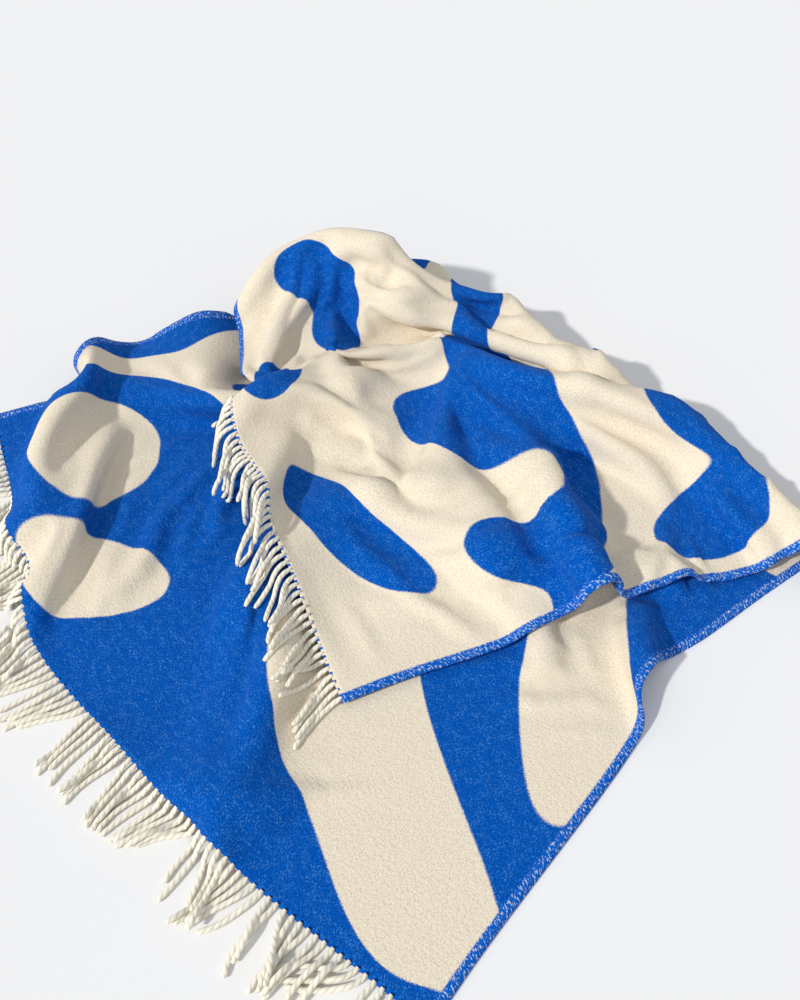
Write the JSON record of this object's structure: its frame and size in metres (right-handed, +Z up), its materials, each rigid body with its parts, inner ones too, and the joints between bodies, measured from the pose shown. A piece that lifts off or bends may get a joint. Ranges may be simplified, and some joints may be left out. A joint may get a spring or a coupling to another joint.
{
  "type": "wool blanket",
  "caption": "Fringed wool throw lying on a surface, folded back over itself with a soft heap of folds at its far side.",
  "frame": {"origin": "middle of the bounding box, at the level of the surface the throw lies on", "axes": "+X to the right and +Y away from the viewer of the picture, +Z up"},
  "size_m": [1.4944, 1.3838, 0.2008],
  "materials": {
    "cloth": "brushed wool double cloth, cobalt blue and cream",
    "yarn": "twisted wool yarn, cream"
  },
  "bodies": {
    "root": {"blanket": "cloth", "fringe_near": "yarn", "fringe_far": "yarn"}
  },
  "joints": []
}
